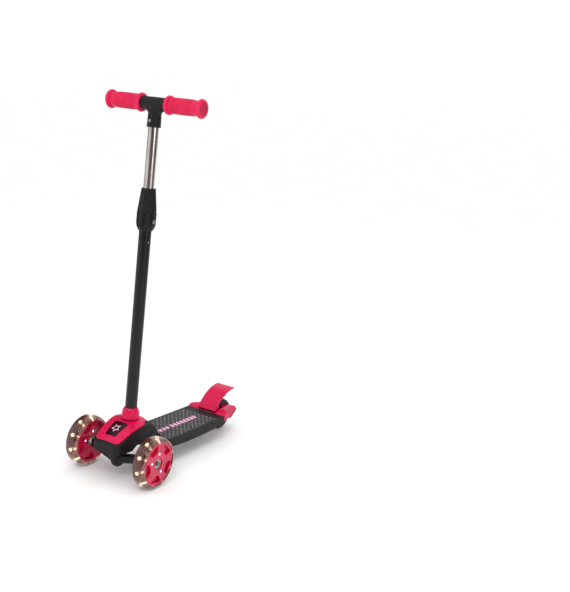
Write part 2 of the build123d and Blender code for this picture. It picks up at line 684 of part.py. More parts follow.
with BuildPart() as stem_bolt:
    with BuildSketch(across_stem(STEM_BOLT_LEVEL, -25)):
        Circle(STEM_BOLT_RADIUS)
    extrude(amount=50.0)
    for end in (-25.0, 20.5):
        with BuildSketch(across_stem(STEM_BOLT_LEVEL, end)):
            RegularPolygon(radius=5.0, side_count=6, major_radius=False)
        extrude(amount=4.5)
save(stem_bolt, "stem_bolt")

# ---- wheels ----------------------------------------------------------------------
BEARING_RADIUS = 11.0
BEARING_WIDTH = 7.0
POCKET_COUNT = 5
LED_COUNT = 10


def wheel_plane(turn, x, face=1):
    return Plane(origin=turn.origin + Vector(x, 0, 0), x_dir=(0, 1, 0), z_dir=(face, 0, 0))


def tyre(turn, x, radius, width, rim_radius, shoulder):
    with BuildPart() as piece:
        with BuildSketch(turn):
            with BuildLine():
                half = width / 2
                turn_in = shoulder * (1 - sqrt(0.5))
                Polyline((x - half, radius - shoulder), (x - half, rim_radius), (x + half, rim_radius),
                         (x + half, radius - shoulder))
                ThreePointArc((x + half, radius - shoulder), (x + half - turn_in, radius - turn_in - 0.6),
                              (x + half - shoulder, radius - 0.9))
                ThreePointArc((x + half - shoulder, radius - 0.9), (x, radius),
                              (x - half + shoulder, radius - 0.9))
                ThreePointArc((x - half + shoulder, radius - 0.9),
                              (x - half + turn_in, radius - turn_in - 0.6), (x - half, radius - shoulder))
            make_face()
        revolve(axis=Axis(turn.origin, turn.x_dir))
    return piece


def rim(turn, x, radius, half, hub_radius, hub_half, pocket_in, pocket_out, pocket_depth):
    # disc with spokes between pockets on both faces, bored for a bearing on each side
    wide = 1.7 * pocket_out * sin(radians(180 / POCKET_COUNT) * 0.8)
    with BuildPart() as piece:
        with BuildSketch(wheel_plane(turn, x - half)):
            Circle(radius - FIT)
        extrude(amount=2 * half)
        for face in (-1, 1):
            with BuildSketch(wheel_plane(turn, x + face * half, -face)):
                Circle(hub_radius)
            extrude(amount=half - hub_half, mode=Mode.SUBTRACT)
            with BuildSketch(wheel_plane(turn, x + face * half, -face)) as pockets:
                with PolarLocations((pocket_in + pocket_out) / 2, POCKET_COUNT, start_angle=28):
                    Trapezoid(wide, pocket_out - pocket_in, 62, rotation=90)
                fillet(pockets.vertices(), 3.0)
            extrude(amount=pocket_depth, mode=Mode.SUBTRACT)
            with BuildSketch(wheel_plane(turn, x + face * hub_half, -face)):
                Circle(BEARING_RADIUS + FIT)
            extrude(amount=BEARING_WIDTH + FIT, mode=Mode.SUBTRACT)
        with BuildSketch(wheel_plane(turn, x - half)):
            Circle(9.0)
        extrude(amount=2 * half, mode=Mode.SUBTRACT)
    return piece


def bearings(turn, x, hub_half, shaft):
    with BuildPart() as pair:
        for start in (-hub_half, hub_half - BEARING_WIDTH):
            with BuildSketch(wheel_plane(turn, x + start)):
                Circle(BEARING_RADIUS)
                Circle(shaft + RUNNING, mode=Mode.SUBTRACT)
            extrude(amount=BEARING_WIDTH)
    return pair


def hub_sleeve(turn, x, hub_half, shaft):
    # tube that keeps the two bearings apart
    length = 2 * (hub_half - BEARING_WIDTH - FIT)
    return turned(turn, ring_outline(x - length / 2, x + length / 2, 6.6, shaft + RUNNING))


FRONT_RIM_HALF = 15.2
TREAD_LED_RADIUS = 3.6
HUB_LED_CIRCLE = 23.5
HUB_LED_RADIUS = 2.6
HUB_LED_ANGLES = (84.0, 163.0, 296.0)

for side, word in ((1, "left"), (-1, "right")):
    middle = side * FRONT_TRACK / 2
    front_tyre = tyre(front_turn, middle, FRONT_WHEEL_RADIUS, FRONT_WHEEL_WIDTH, FRONT_RIM_RADIUS, 9.0)
    save(front_tyre, f"front_tyre_{word}")

    blank = rim(front_turn, middle, FRONT_RIM_RADIUS, FRONT_RIM_HALF, 13.5, FRONT_HUB_HALF, 28.0, 44.5, 7.0)
    hub_led_spots = [
        (HUB_LED_CIRCLE * cos(radians(angle)), HUB_LED_CIRCLE * sin(radians(angle)))
        for angle in HUB_LED_ANGLES
    ]
    lamp_planes = []
    for step in range(LED_COUNT):
        angle = radians(step * 360.0 / LED_COUNT + 9.0)
        outward = Vector(0, cos(angle), sin(angle))
        lamp_planes.append(Plane(
            origin=front_turn.origin + Vector(middle, 0, 0) + outward * (FRONT_RIM_RADIUS - 3.4),
            x_dir=(1, 0, 0), z_dir=outward,
        ))
    with BuildPart() as tread_leds:
        for lamp in lamp_planes:
            with BuildSketch(lamp):
                Circle(TREAD_LED_RADIUS)
            extrude(amount=2.6)
    save(tread_leds, f"tread_leds_{word}")
    with BuildPart() as hub_leds:
        for face in (-1, 1):
            with BuildSketch(wheel_plane(front_turn, middle + face * (FRONT_RIM_HALF - 3.0), face)):
                for spot in hub_led_spots:
                    with Locations((spot[0], face * spot[1])):
                        Circle(HUB_LED_RADIUS)
            extrude(amount=3.0)
    save(hub_leds, f"hub_leds_{word}")
    with BuildPart() as front_rim:
        add(blank.part)
        for lamp in lamp_planes:
            with BuildSketch(lamp.offset(-FIT)):
                Circle(TREAD_LED_RADIUS + FIT)
            extrude(amount=8.0, mode=Mode.SUBTRACT)
        for face in (-1, 1):
            with BuildSketch(wheel_plane(front_turn, middle + face * (FRONT_RIM_HALF - 3.1), face)):
                for spot in hub_led_spots:
                    with Locations((spot[0], face * spot[1])):
                        Circle(HUB_LED_RADIUS + FIT)
            extrude(amount=8.0, mode=Mode.SUBTRACT)
    save(front_rim, f"front_rim_{word}")
    save(bearings(front_turn, middle, FRONT_HUB_HALF, AXLE_RADIUS), f"front_bearings_{word}")
    save(hub_sleeve(front_turn, middle, FRONT_HUB_HALF, AXLE_RADIUS), f"front_hub_sleeve_{word}")

with BuildPart() as front_axle_bolts:
    for side in (-1, 1):
        outer = FRONT_TRACK / 2 + FRONT_HUB_HALF + 0.4
        with BuildSketch(wheel_plane(front_turn, side * AXLE_ROOT, side)):
            Circle(AXLE_RADIUS)
        extrude(amount=outer - AXLE_ROOT)
        with BuildSketch(wheel_plane(front_turn, side * outer, side)):
            Circle(5.6)
            RegularPolygon(radius=2.8, side_count=6, mode=Mode.SUBTRACT)
        extrude(amount=3.0)
        with BuildSketch(wheel_plane(front_turn, side * outer, side)):
            Circle(5.6)
        extrude(amount=1.0)
save(front_axle_bolts, "front_axle_bolts")

with BuildPart() as front_axle_spacers:
    for side in (-1, 1):
        start = ARM_END + FIT
        end = FRONT_TRACK / 2 - FRONT_HUB_HALF - 0.3
        with BuildSketch(wheel_plane(front_turn, side * start, side)):
            Circle(6.5)
            Circle(AXLE_RADIUS + FIT, mode=Mode.SUBTRACT)
        extrude(amount=end - start)
save(front_axle_spacers, "front_axle_spacers")

REAR_RIM_HALF = 10.5
REAR_HUB_HALF = 9.6
save(tyre(rear_turn, 0, REAR_WHEEL_RADIUS, REAR_WHEEL_WIDTH, REAR_RIM_RADIUS, 8.0), "rear_tyre")
save(rim(rear_turn, 0, REAR_RIM_RADIUS, REAR_RIM_HALF, 12.6, REAR_HUB_HALF, 15.0, 25.5, 5.0), "rear_rim")
save(bearings(rear_turn, 0, REAR_HUB_HALF, AXLE_RADIUS), "rear_bearings")
save(hub_sleeve(rear_turn, 0, REAR_HUB_HALF, AXLE_RADIUS), "rear_hub_sleeve")

# ---- rear fork and cover -------------------------------------------------------------
ARM_INNER = REAR_WHEEL_WIDTH / 2 + 4.5
ARM_OUTER = 32.0
AXLE_SEAT = 23.6               # where the rear axle's head and nut bear, from the middle plane
COVER_FRONT = DECK_REAR + FIT
COVER_WALL = 2.8
WELL_FRONT = WHEELBASE - REAR_WHEEL_RADIUS - 5.0


def rear_outline(inset):
    # plan of the rear cover: as wide as the deck, then stepping in to the wheel arms
    with BuildSketch() as outline:
        with BuildLine():
            halves = (
                (DECK_HALF_WIDTH, DECK_REAR), (DECK_HALF_WIDTH - 1, DECK_REAR + 10), (46, DECK_REAR + 24),
                (ARM_OUTER + 4, DECK_REAR + 36), (ARM_OUTER, DECK_REAR + 48), (ARM_OUTER, WHEELBASE + 40),
            )
            right = [(x, back(d)) for x, d in halves]
            left = [(-x, y) for x, y in reversed(right)]
            Polyline(*right, *left, close=True)
        make_face()
        for level in (3, 2, 1):
            fillet(outline.vertices().group_by(Axis.Y)[level], 9.0)
        if inset:
            offset(amount=-inset, kind=Kind.INTERSECTION, mode=Mode.REPLACE)
    return outline.sketch


def rear_side(inset, front):
    # side view of the rear end, from this distance back
    top = DECK_REAR_TOP - inset
    with BuildPart() as block:
        with BuildSketch(Plane.YZ.offset(-WIDE / 2)):
            with BuildLine():
                shoulder = (back(351.0), 67.4 - inset)
                Polyline((back(412), 31.5), (back(DECK_REAR), 50.0), (back(front), 50.0),
                         (back(front), top), shoulder)
                line = ((358.0, 69.0), (380.0, 69.0), (402.0, 66.8), (420.0, 64.5))
                Spline(shoulder, *[(back(d), h - inset) for d, h in line])
                ThreePointArc((back(420), 64.5 - inset), (back(433 - inset), 58.0 - inset * 0.6),
                              (back(437 - inset), 50.0))
                Polyline((back(437 - inset), 50.0), (back(434 - inset), 46.0), (back(412), 31.5))
            make_face()
        extrude(amount=WIDE)
    return block.part


def rear_mass(inset, front):
    with BuildPart() as mass:
        with BuildSketch(Plane.XY.offset(20.0)):
            add(rear_outline(inset))
        extrude(amount=80.0)
        add(rear_side(inset, front), mode=Mode.INTERSECT)
    return mass.part


PIN_HALF = FENDER_HALF_WIDTH + 4.8    # half length of the brake pin's bore, to the cheeks' outer faces
fork_pin = Plane(origin=(-PIN_HALF, back(PIN_PLACE[0]), PIN_PLACE[1]), z_dir=(1, 0, 0))


def tail_tip(gap):
    # lower end of the wheel arms, behind a slanting line
    with BuildPart() as tip:
        add(rear_mass(0.0, COVER_FRONT))
        add(side_prism([
            (405 + gap, 29 - gap), (445, 28), (445, 58 - gap), (441 + gap, 58 - gap),
        ]), mode=Mode.INTERSECT)
    return tip.part


with BuildPart() as cheeks:
    # walls on either side of the fender's root that hold the hinge pin
    for x in (-FENDER_HALF_WIDTH - 4.8, FENDER_HALF_WIDTH + 0.8):
        add(box_between((x, COVER_FRONT, WEB_TOP + 0.3), (x + 4.0, PIN_PLACE[0] + 9.0, 90)))
    add(rear_mass(COVER_WALL / 2, COVER_FRONT), mode=Mode.INTERSECT)

with BuildPart() as rear_cover:
    add(rear_mass(0.0, COVER_FRONT))
    add(rear_mass(COVER_WALL, COVER_FRONT + COVER_WALL), mode=Mode.SUBTRACT)
    add(box_between((-ARM_INNER + 0.5, WELL_FRONT, 0), (ARM_INNER - 0.5, 460, 120)), mode=Mode.SUBTRACT)
    slot = FENDER_HALF_WIDTH + 0.8
    add(box_between((-slot, COVER_FRONT + 1.2, 58), (slot, 385, 120)), mode=Mode.SUBTRACT)
    add(box_between((-34, COVER_FRONT - 1, 30), (34, WELL_FRONT, WEB_TOP + 0.2)), mode=Mode.SUBTRACT)
    add(tail_tip(0.0), mode=Mode.SUBTRACT)
    add(cheeks.part)
    with BuildSketch(fork_pin):
        Circle(PIN_RADIUS + FIT)
    extrude(amount=2 * PIN_HALF, mode=Mode.SUBTRACT)
save(rear_cover, "rear_cover")

# black fork inside the cover; its lower tail shows behind the cover
with BuildPart() as rear_fork:
    arm_half = ARM_OUTER - COVER_WALL - 0.2
    add(side_prism([
        (WELL_FRONT - 6, WEB_BOTTOM), (WELL_FRONT, WEB_BOTTOM), (410, 32.5), (426, 44), (430, 50),
        (428, 56), (424, WEB_TOP), (WELL_FRONT - 6, WEB_TOP),
    ], arm_half))
    add(tail_tip(0.2))
    add(box_between((-arm_half, DECK_REAR - 26, WEB_BOTTOM), (arm_half, WELL_FRONT - 5, WEB_TOP)))
    add(box_between((-ARM_INNER, WELL_FRONT, 0), (ARM_INNER, 460, 120)), mode=Mode.SUBTRACT)
    with BuildSketch(wheel_plane(rear_turn, -40)):
        Circle(AXLE_RADIUS + FIT)
    extrude(amount=80.0, mode=Mode.SUBTRACT)
    # pockets for the axle bolt's head and nut, covered by the rear cover
    for side in (-1, 1):
        with BuildSketch(wheel_plane(rear_turn, side * AXLE_SEAT, side)):
            Circle(8.2)
        extrude(amount=20.0, mode=Mode.SUBTRACT)
    for x in SCREW_PLACES:
        with BuildSketch(Plane(origin=(x, back(FORK_SCREWS), 40))):
            Circle(SCREW_RADIUS + FIT)
        extrude(amount=40.0, mode=Mode.SUBTRACT)
save(rear_fork, "rear_fork")

# ---- brake ------------------------------------------------------------------------------
fender_side = Plane(origin=(0, back(FENDER_CENTRE[0]), FENDER_CENTRE[1]), x_dir=(0, 1, 0), z_dir=(1, 0, 0))
with BuildPart() as brake_fender:
    with BuildSketch(fender_side.offset(-FENDER_HALF_WIDTH)):
        with BuildLine():
            outer = CenterArc((0, 0), FENDER_RADIUS, 90, FENDER_SWEEP)
            inner = CenterArc((0, 0), FENDER_RADIUS - FENDER_THICK, 90, FENDER_SWEEP)
            Line(outer @ 0, inner @ 0)
            Line(outer @ 1, inner @ 1)
        make_face()
    extrude(amount=2 * FENDER_HALF_WIDTH)
    pin_local = (back(PIN_PLACE[0]) - fender_side.origin.Y, PIN_PLACE[1] - fender_side.origin.Z)
    for start in (-FENDER_HALF_WIDTH, FENDER_HALF_WIDTH - 10.0):
        with BuildSketch(fender_side.offset(start)):
            with Locations(pin_local):
                Circle(LUG_RADIUS)
            corners = ((-LUG_RADIUS, 0), (-LUG_RADIUS, 13.0), (LUG_RADIUS, 21.5), (LUG_RADIUS, 0))
            with BuildLine():
                Polyline(*[(pin_local[0] + y, pin_local[1] + z) for y, z in corners], close=True)
            make_face()
        extrude(amount=10.0)
    # ribs that carry the pad
    for x in (-10.0, 10.0):
        with BuildSketch(fender_side.offset(x - 1.5)):
            with BuildLine():
                rib_top = FENDER_RADIUS - FENDER_THICK / 2
                Polyline((-42.0, rib_top - 9.5), (-14.0, rib_top - 1.2), (-14.0, 72.0), (-42.0, 72.0),
                         close=True)
            make_face()
        extrude(amount=3.0)
    with BuildSketch(fender_side.offset(-40)):
        with BuildLine():
            Polyline((-95, 0), (-95, 110), (-40, 130), (8, 130), (8, 0), close=True)
        make_face()
    extrude(amount=80.0, mode=Mode.INTERSECT)
    with BuildSketch(wheel_plane(rear_turn, -40)):
        Circle(REAR_WHEEL_RADIUS + PAD_GAP + 2.5 + FIT)
    extrude(amount=80.0, mode=Mode.SUBTRACT)
    with BuildSketch(fender_side.offset(-40)):
        with Locations(pin_local):
            Circle(PIN_RADIUS + RUNNING)
    extrude(amount=80.0, mode=Mode.SUBTRACT)
save(brake_fender, "brake_fender")

with BuildPart() as brake_pad:
    with BuildSketch(wheel_plane(rear_turn, -11.5)):
        Circle(REAR_WHEEL_RADIUS + PAD_GAP + 2.5)
        Circle(REAR_WHEEL_RADIUS + PAD_GAP, mode=Mode.SUBTRACT)
    extrude(amount=23.0)
    add(box_between((-20, WHEELBASE - 15.0, 60), (20, WHEELBASE + 12.0, 120)), mode=Mode.INTERSECT)
save(brake_pad, "brake_pad")

with BuildPart() as brake_pin:
    with BuildSketch(fork_pin.offset(FIT)):
        Circle(PIN_RADIUS)
    extrude(amount=2 * (PIN_HALF - FIT))
save(brake_pin, "brake_pin")

SPRING_WIRE = 0.6
with BuildPart() as brake_spring:
    # torsion spring round the pin
    coil_start = (-5.5, back(PIN_PLACE[0]), PIN_PLACE[1])
    coil = Helix(pitch=2.2, height=11.0, radius=3.4, center=coil_start, direction=(1, 0, 0))
    with BuildSketch(Plane(origin=coil @ 0, z_dir=coil % 0)):
        Circle(SPRING_WIRE)
    sweep(path=coil)
save(brake_spring, "brake_spring")

axle_head = AXLE_SEAT + FIT + 4.3
with BuildPart() as rear_axle_bolt:
    with BuildSketch(wheel_plane(rear_turn, -AXLE_SEAT - 1.0)):
        Circle(AXLE_RADIUS)
    extrude(amount=2 * AXLE_SEAT + 6.0)
    with BuildSketch(wheel_plane(rear_turn, -axle_head)):
        Circle(7.5)
        RegularPolygon(radius=3.0, side_count=6, mode=Mode.SUBTRACT)
    extrude(amount=4.3)
    with BuildSketch(wheel_plane(rear_turn, -AXLE_SEAT - 1.4)):
        Circle(7.5)
    extrude(amount=1.3)
save(rear_axle_bolt, "rear_axle_bolt")

with BuildPart() as rear_axle_nut:
    with BuildSketch(wheel_plane(rear_turn, AXLE_SEAT + FIT)):
        RegularPolygon(radius=6.5, side_count=6, major_radius=False)
        Circle(AXLE_RADIUS + FIT, mode=Mode.SUBTRACT)
    extrude(amount=4.5)
save(rear_axle_nut, "rear_axle_nut")

with BuildPart() as rear_axle_spacers:
    for side in (-1, 1):
        start = REAR_HUB_HALF + 0.3
        with BuildSketch(wheel_plane(rear_turn, side * start, side)):
            Circle(6.5)
            Circle(AXLE_RADIUS + FIT, mode=Mode.SUBTRACT)
        extrude(amount=ARM_INNER - FIT - start)
save(rear_axle_spacers, "rear_axle_spacers")

with BuildPart() as fork_screws:
    for x in SCREW_PLACES:
        with BuildSketch(Plane(origin=(x, back(FORK_SCREWS), 44.3))):
            Circle(4.5)
            RegularPolygon(radius=2.0, side_count=6, mode=Mode.SUBTRACT)
        extrude(amount=2.8)
        with BuildSketch(Plane(origin=(x, back(FORK_SCREWS), 46.3))):
            Circle(SCREW_RADIUS)
        extrude(amount=14.5)
save(fork_screws, "fork_screws")
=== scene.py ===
import json
import math

import bmesh
import bpy
from mathutils import Matrix, Vector
from mathutils.bvhtree import BVHTree


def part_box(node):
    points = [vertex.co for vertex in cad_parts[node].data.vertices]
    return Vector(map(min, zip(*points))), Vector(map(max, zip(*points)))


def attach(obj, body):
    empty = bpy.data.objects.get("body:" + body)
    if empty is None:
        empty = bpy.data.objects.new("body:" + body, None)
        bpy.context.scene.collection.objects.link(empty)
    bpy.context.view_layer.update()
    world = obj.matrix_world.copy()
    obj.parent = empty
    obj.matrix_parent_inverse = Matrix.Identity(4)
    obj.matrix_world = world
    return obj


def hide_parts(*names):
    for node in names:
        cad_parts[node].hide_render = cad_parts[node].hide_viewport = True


# Child's three-wheeled kick scooter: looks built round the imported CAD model.
# Everything is in metres; sizes in the dictionaries are in millimetres unless a key says otherwise.

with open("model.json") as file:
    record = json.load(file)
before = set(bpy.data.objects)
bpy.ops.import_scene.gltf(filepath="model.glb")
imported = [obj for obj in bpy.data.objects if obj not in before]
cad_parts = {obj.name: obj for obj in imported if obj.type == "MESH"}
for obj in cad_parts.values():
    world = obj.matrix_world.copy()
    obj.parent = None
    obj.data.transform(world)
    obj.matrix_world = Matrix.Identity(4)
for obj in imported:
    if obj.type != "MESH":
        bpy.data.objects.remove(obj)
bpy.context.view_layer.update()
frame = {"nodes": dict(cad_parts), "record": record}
cadNodes = frame["nodes"]
mm = 0.001
print("frame loaded:", len(cadNodes), "nodes")


# materials: each starts from what the real one is made of

def linearFromHex(hexText):
    channels = [int(hexText[i:i + 2], 16) / 255 for i in (1, 3, 5)]
    return [c / 12.92 if c <= 0.04045 else ((c + 0.055) / 1.055) ** 2.4 for c in channels] + [1.0]


def addNode(tree, kind, inputs=None, **settings):
    # one node, with its settings, its fixed values and the links that feed it
    node = tree.nodes.new(kind)
    for key, value in settings.items():
        setattr(node, key, value)
    for key, value in (inputs or {}).items():
        if isinstance(value, bpy.types.NodeSocket):
            tree.links.new(value, node.inputs[key])
        else:
            node.inputs[key].default_value = value
    return node


def startMaterial(name, **fixed):
    material = bpy.data.materials.new(name)
    material.use_nodes = True
    tree = material.node_tree
    shader = tree.nodes["Principled BSDF"]
    for key, value in fixed.items():
        shader.inputs[key.replace("_", " ")].default_value = value
    place = addNode(tree, "ShaderNodeTexCoord").outputs["Object"]
    return material, tree, shader, place


def cloudedColour(tree, shader, place, hexes, sizeMm, spread=(0.35, 0.65)):
    # slow drift between two tones of the same pigment
    cloud = addNode(tree, "ShaderNodeTexNoise", {"Vector": place, "Scale": 1 / (sizeMm * mm), "Detail": 3.0})
    ramp = addNode(tree, "ShaderNodeValToRGB", {"Fac": cloud.outputs["Fac"]})
    for stop, position, tone in zip(ramp.color_ramp.elements, spread, hexes):
        stop.position = position
        stop.color = linearFromHex(tone)
    tree.links.new(ramp.outputs["Color"], shader.inputs["Base Color"])
    return ramp.outputs["Color"]


def variedRoughness(tree, shader, place, low, high, sizeMm):
    patch = addNode(tree, "ShaderNodeTexNoise", {"Vector": place, "Scale": 1 / (sizeMm * mm), "Detail": 4.0})
    span = addNode(tree, "ShaderNodeMapRange", {
        "Value": patch.outputs["Fac"], "From Min": 0.3, "From Max": 0.7, "To Min": low, "To Max": high})
    tree.links.new(span.outputs["Result"], shader.inputs["Roughness"])


def grainBump(tree, shader, height, depthMm, strength):
    bump = addNode(tree, "ShaderNodeBump", {"Height": height, "Distance": depthMm * mm, "Strength": strength})
    tree.links.new(bump.outputs["Normal"], shader.inputs["Normal"])


def fineNoise(tree, place, sizeMm, detail=2.0):
    return addNode(tree, "ShaderNodeTexNoise", {
        "Vector": place, "Scale": 1 / (sizeMm * mm), "Detail": detail}).outputs["Fac"]


def makePinkAbs():
    # ABS moulded in a polished tool: clear gloss with the faint ripple of cooled plastic
    material, tree, shader, place = startMaterial(
        "pinkAbs", IOR=1.54, Specular_IOR_Level=0.18, Coat_Weight=0.1, Coat_Roughness=0.12)
    cloudedColour(tree, shader, place, ("#c60345", "#cc0548"), 24)
    variedRoughness(tree, shader, place, 0.24, 0.34, 9)
    grainBump(tree, shader, fineNoise(tree, place, 1.6), 0.03, 0.15)
    return material


def makeWheelCoreAbs():
    # clearer, slightly light-carrying plastic of the wheel cores: deeper red where it is thick
    material, tree, shader, place = startMaterial(
        "wheelCoreAbs", IOR=1.56, Specular_IOR_Level=0.4, Subsurface_Weight=0.1, Subsurface_Scale=0.004,
        Coat_Weight=0.15, Coat_Roughness=0.08)
    cloudedColour(tree, shader, place, ("#b00334", "#cc0846"), 15, (0.4, 0.62))
    variedRoughness(tree, shader, place, 0.18, 0.28, 7)
    grainBump(tree, shader, fineNoise(tree, place, 2.2), 0.05, 0.2)
    return material


def makeBlackPolypropylene(name, tones):
    # polypropylene from a spark-eroded tool: dull black with a fine pebble
    # real pebbles are 0.15 mm; drawn at 0.5 mm so that they show
    material, tree, shader, place = startMaterial(name, IOR=1.49, Specular_IOR_Level=0.26)
    cloudedColour(tree, shader, place, tones, 18)
    variedRoughness(tree, shader, place, 0.46, 0.6, 6)
    pebble = addNode(tree, "ShaderNodeTexVoronoi", {"Vector": place, "Scale": 1 / (0.5 * mm)})
    grainBump(tree, shader, pebble.outputs["Distance"], 0.06, 0.35)
    return material


def makePowderCoat():
    # satin black powder coat on steel tube: tiny rounded dimples, a soft broad highlight
    material, tree, shader, place = startMaterial(
        "powderCoat", IOR=1.5, Specular_IOR_Level=0.24, Coat_Weight=0.16, Coat_Roughness=0.12)
    cloudedColour(tree, shader, place, ("#0c0b0c", "#121012"), 30)
    variedRoughness(tree, shader, place, 0.28, 0.38, 5)
    grainBump(tree, shader, fineNoise(tree, place, 0.7, 3.0), 0.04, 0.3)
    return material


def makeDrawnAluminium():
    # drawn and polished aluminium tube: bright, with fine draw lines along its length; its two tones are
    # darker and browner than bare aluminium, a painted reflection of a brownish surround
    material, tree, shader, place = startMaterial("drawnAluminium", Metallic=1.0)
    cloudedColour(tree, shader, place, ("#b7aeaa", "#c9c2be"), 40)
    stretch = addNode(tree, "ShaderNodeMapping", {"Vector": place, "Scale": (1.0, 1.0, 0.015)})
    lines = fineNoise(tree, stretch.outputs["Vector"], 0.6, 3.0)
    span = addNode(tree, "ShaderNodeMapRange", {
        "Value": lines, "From Min": 0.3, "From Max": 0.7, "To Min": 0.16, "To Max": 0.3})
    tree.links.new(span.outputs["Result"], shader.inputs["Roughness"])
    grainBump(tree, shader, lines, 0.02, 0.15)
    return material


def makeZincPlate(name, tones, roughness):
    # zinc-plated steel: grey metal with a slight straw and blue cast from the plating bath
    material, tree, shader, place = startMaterial(name, Metallic=1.0)
    cloudedColour(tree, shader, place, tones, 5)
    variedRoughness(tree, shader, place, roughness, roughness + 0.16, 2.5)
    grainBump(tree, shader, fineNoise(tree, place, 0.5), 0.02, 0.25)
    return material


def makeNylon():
    # natural nylon, milky and waxy, a little light passing through thin walls
    material, tree, shader, place = startMaterial(
        "naturalNylon", IOR=1.53, Subsurface_Weight=0.25, Subsurface_Scale=0.003)
    cloudedColour(tree, shader, place, ("#d5d0c2", "#e2ded2"), 8)
    variedRoughness(tree, shader, place, 0.4, 0.52, 3)
    grainBump(tree, shader, fineNoise(tree, place, 0.9), 0.03, 0.2)
    return material


def makeClearTyre():
    # cast clear polyurethane, smoked: the core and the lamps show through it, browned where it is deep
    material, tree, shader, place = startMaterial(
        "smokedPolyurethane", IOR=1.5, Transmission_Weight=0.93, Coat_Weight=0.3, Coat_Roughness=0.05)
    cloudedColour(tree, shader, place, ("#844a44", "#b37c6e"), 12)
    variedRoughness(tree, shader, place, 0.08, 0.18, 8)
    grainBump(tree, shader, fineNoise(tree, place, 5.0, 1.0), 0.15, 0.3)
    return material


def makeBlackUrethane():
    # cast black urethane of the rear tyre, scuffed dull on the tread
    material, tree, shader, place = startMaterial("blackUrethane", IOR=1.5, Specular_IOR_Level=0.3)
    cloudedColour(tree, shader, place, ("#171516", "#232021"), 7)
    variedRoughness(tree, shader, place, 0.38, 0.62, 4)
    grainBump(tree, shader, fineNoise(tree, place, 0.6, 3.0), 0.05, 0.4)
    return material


def makeGripRubber():
    # thermoplastic rubber: saturated pink with a soft skin and a slight bloom
    material, tree, shader, place = startMaterial(
        "gripRubber", IOR=1.5, Specular_IOR_Level=0.35, Sheen_Weight=0.05, Sheen_Roughness=0.4,
        Sheen_Tint=linearFromHex("#ffb0c8"))
    cloudedColour(tree, shader, place, ("#c90543", "#d40a4a"), 14)
    variedRoughness(tree, shader, place, 0.38, 0.5, 4)
    grainBump(tree, shader, fineNoise(tree, place, 0.45, 2.0), 0.04, 0.35)
    return material


def makePlugPlastic():
    # end plug, a duller and redder moulding than the grip
    material, tree, shader, place = startMaterial("plugPlastic", IOR=1.5, Specular_IOR_Level=0.3)
    cloudedColour(tree, shader, place, ("#a00c32", "#b5123f"), 9)
    variedRoughness(tree, shader, place, 0.42, 0.56, 3)
    grainBump(tree, shader, fineNoise(tree, place, 0.6), 0.04, 0.3)
    return material


def makeBadgePanel():
    # back-painted clear panel: very dark plum under gloss
    material, tree, shader, place = startMaterial(
        "badgePanel", IOR=1.58, Specular_IOR_Level=0.12, Coat_Weight=0.04, Coat_Roughness=0.05)
    cloudedColour(tree, shader, place, ("#25020f", "#300516"), 10)
    variedRoughness(tree, shader, place, 0.16, 0.24, 6)
    grainBump(tree, shader, fineNoise(tree, place, 2.5), 0.03, 0.15)
    return material


def makePadPrint(name, tones):
    # pad-printed ink: flat, thin, a little uneven at the grain of the plastic below
    material, tree, shader, place = startMaterial(name, IOR=1.45)
    cloudedColour(tree, shader, place, tones, 3)
    variedRoughness(tree, shader, place, 0.4, 0.55, 2)
    grainBump(tree, shader, fineNoise(tree, place, 0.5), 0.03, 0.3)
    return material


def makeLamp(name, tones, strength):
    # light-emitting capsule, its glow uneven from the diode inside
    material, tree, shader, place = startMaterial(name, IOR=1.5, Roughness=0.2, Emission_Strength=strength)
    tone = cloudedColour(tree, shader, place, tones, 5)
    tree.links.new(tone, shader.inputs["Emission Color"])
    return material


def makeBushing():
    # firm moulded urethane bushing, dull and dark
    material, tree, shader, place = startMaterial("bushingUrethane", IOR=1.5)
    cloudedColour(tree, shader, place, ("#3a3432", "#4a4240"), 5)
    variedRoughness(tree, shader, place, 0.5, 0.65, 3)
    grainBump(tree, shader, fineNoise(tree, place, 0.6), 0.05, 0.3)
    return material


finishes = {
    "pink_plastic": makePinkAbs(),
    "pink_rim": makeWheelCoreAbs(),
    "pink_grip": makeGripRubber(),
    "red_plug": makePlugPlastic(),
    "pink_print": makePadPrint("emblemPrint", ("#dba0bb", "#e8b4ca")),
    "deck_print": makePadPrint("deckPrint", ("#dc94ba", "#efb4d2")),
    "plum_plastic": makeBadgePanel(),
    "black_plastic": makeBlackPolypropylene("blackPolypropylene", ("#111011", "#181517")),
    # deck ridges: lighter grey than the black deck, a painted highlight for ridges that catch the light
    "deck_grip": makeBlackPolypropylene("deckRidgesPaintedHighlight", ("#6c686b", "#7d797c")),
    "black_steel": makePowderCoat(),
    "bright_tube": makeDrawnAluminium(),
    "zinc_steel": makeZincPlate("zincPlate", ("#85827b", "#a19f9f"), 0.28),
    "spring_steel": makeZincPlate("springWire", ("#77767a", "#8e8d90"), 0.32),
    "bearing_steel": makeZincPlate("bearingShield", ("#8e8b84", "#aaa8a5"), 0.2),
    "nylon": makeNylon(),
    "urethane": makeBushing(),
    "clear_tyre": makeClearTyre(),
    "black_tyre": makeBlackUrethane(),
    "lamp": makeLamp("lampCapsule", ("#d4ffd6", "#eaffea"), 2.8),
    "hub_lamp": makeLamp("hubLampCapsule", ("#b9a8ff", "#efe8ff"), 1.5),
}
slotOfNode = {part["node"]: part["material_slot"] for part in frame["record"]["subparts"]}
bodyOfNode = {node: body for body, names in frame["record"]["behaviour"]["bodies"].items() for node in names}
for name, node in cadNodes.items():
    node.data.materials.clear()
    node.data.materials.append(finishes["hub_lamp" if name.startswith("hub_leds") else slotOfNode[name]])
print("materials:", len(finishes))


# shaping: moulded edges, ribs, lattice, lamp glow

def toScene(mesh, name, body):
    piece = bpy.data.objects.new(name, mesh)
    bpy.context.scene.collection.objects.link(piece)
    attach(piece, body)
    return piece


